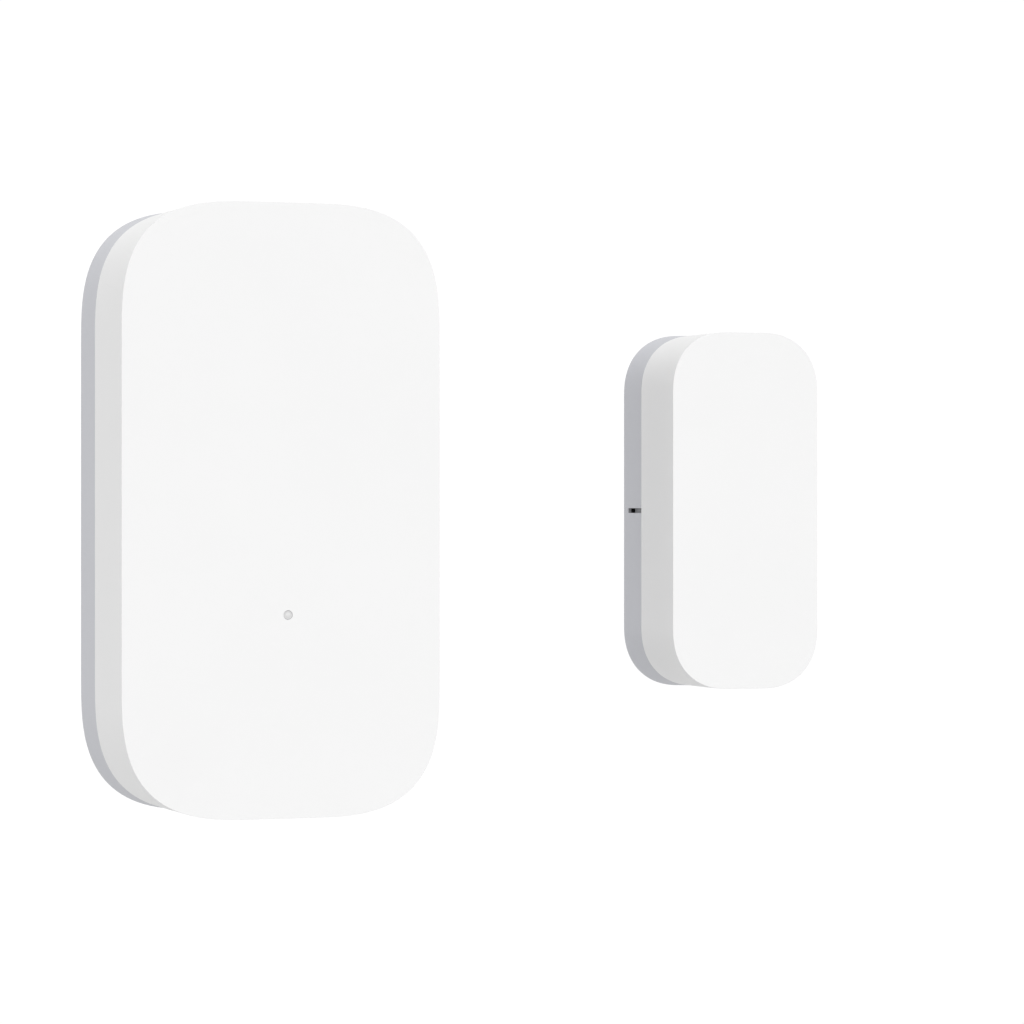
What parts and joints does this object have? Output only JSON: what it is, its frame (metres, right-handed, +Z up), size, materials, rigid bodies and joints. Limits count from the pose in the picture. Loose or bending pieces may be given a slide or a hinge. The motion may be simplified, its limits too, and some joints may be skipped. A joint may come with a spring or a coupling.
{
  "type": "door contact sensor",
  "caption": "Stick-on wireless door contact sensor: a white and grey sensor unit with a status light and hidden reset button, and a smaller magnet unit beside it.",
  "frame": {"origin": "centre of the sensor unit's adhesive face, on the wall plane", "axes": "+X from the sensor unit to the magnet unit, +Y out of the adhesive face into the wall (the white fronts face -Y), +Z up along the units' long side"},
  "size_m": [0.0511, 0.0113, 0.0412],
  "materials": {
    "grey_shell": "fine matte",
    "foam_tape": "matte",
    "white_shell": "fine matte",
    "clear_plastic": "diffusing",
    "led_resin": "gloss",
    "board": "solder mask",
    "gold_plating": "satin",
    "chip_resin": "matte",
    "crystal_can": "satin",
    "capacitor_ceramic": "matte",
    "resistor_body": "satin",
    "tantalum_body": "matte",
    "reed_glass": "clear",
    "lead_metal": "tinned",
    "solder": "satin",
    "spring_steel": "satin",
    "cell_steel": "brushed",
    "cell_gasket": "matte",
    "cell_cap": "satin",
    "switch_resin": "matte",
    "magnet_plating": "satin nickel"
  },
  "bodies": {
    "wall_plate": {"sensor_back_cover": "grey_shell", "sensor_adhesive_pad": "foam_tape"},
    "sensor_housing": {"sensor_front_cover": "white_shell", "light_pipe": "clear_plastic", "status_led": "led_resin", "circuit_board": "board", "antenna_trace": "gold_plating", "test_pads": "gold_plating", "radio_chip": "chip_resin", "crystal_oscillator": "crystal_can", "chip_capacitors": "capacitor_ceramic", "chip_resistors": "resistor_body", "bulk_capacitor": "tantalum_body", "reed_glass": "reed_glass", "reed_leads": "lead_metal", "reed_fixed_blade": "lead_metal", "solder_fillets": "solder", "battery_positive_clip": "spring_steel", "battery_negative_contact": "gold_plating", "coin_cell_can": "cell_steel", "coin_cell_gasket": "cell_gasket", "coin_cell_cap": "cell_cap", "switch_body": "switch_resin", "switch_shield": "spring_steel", "switch_dome": "gold_plating"},
    "reset_button": {"reset_button": "grey_shell"},
    "switch_plunger": {"switch_plunger": "switch_resin"},
    "reed_blade": {"reed_moving_blade": "lead_metal"},
    "magnet_unit": {"magnet_back_cover": "grey_shell", "magnet_adhesive_pad": "foam_tape", "magnet_bar": "magnet_plating"},
    "magnet_lid": {"magnet_front_cover": "white_shell"}
  },
  "joints": [
    {"name": "magnet_unit_slide", "type": "slide", "parent": "wall_plate", "child": "magnet_unit", "axis": [1, 0, 0], "range_m": [0, 0.06]},
    {"name": "housing_lift", "type": "slide", "parent": "wall_plate", "child": "sensor_housing", "axis": [0, -1, 0], "range_m": [0, 0.018]},
    {"name": "magnet_cover_lift", "type": "slide", "parent": "magnet_unit", "child": "magnet_lid", "axis": [0, -1, 0], "range_m": [0, 0.012]},
    {"name": "button_press", "type": "slide", "parent": "sensor_housing", "child": "reset_button", "axis": [0, 0, -1], "range_m": [0, 0.0003], "stiffness_N_per_m": 5000},
    {"name": "plunger_press", "type": "slide", "parent": "sensor_housing", "child": "switch_plunger", "axis": [0, 0, -1], "range_m": [0, 0.0003], "deforming": ["switch_dome"]},
    {"name": "reed_flex", "type": "hinge", "parent": "sensor_housing", "child": "reed_blade", "pos_m": [0.0076, -0.0083, -0.0045], "axis": [0, 1, 0], "range_deg": [0, 1.8]}
  ],
  "couplings": [
    {"joint": "plunger_press", "follows": "button_press", "ratio": 1},
    {"joint": "reed_flex", "follows": "magnet_unit_slide", "rad_per_m": 0.5}
  ]
}
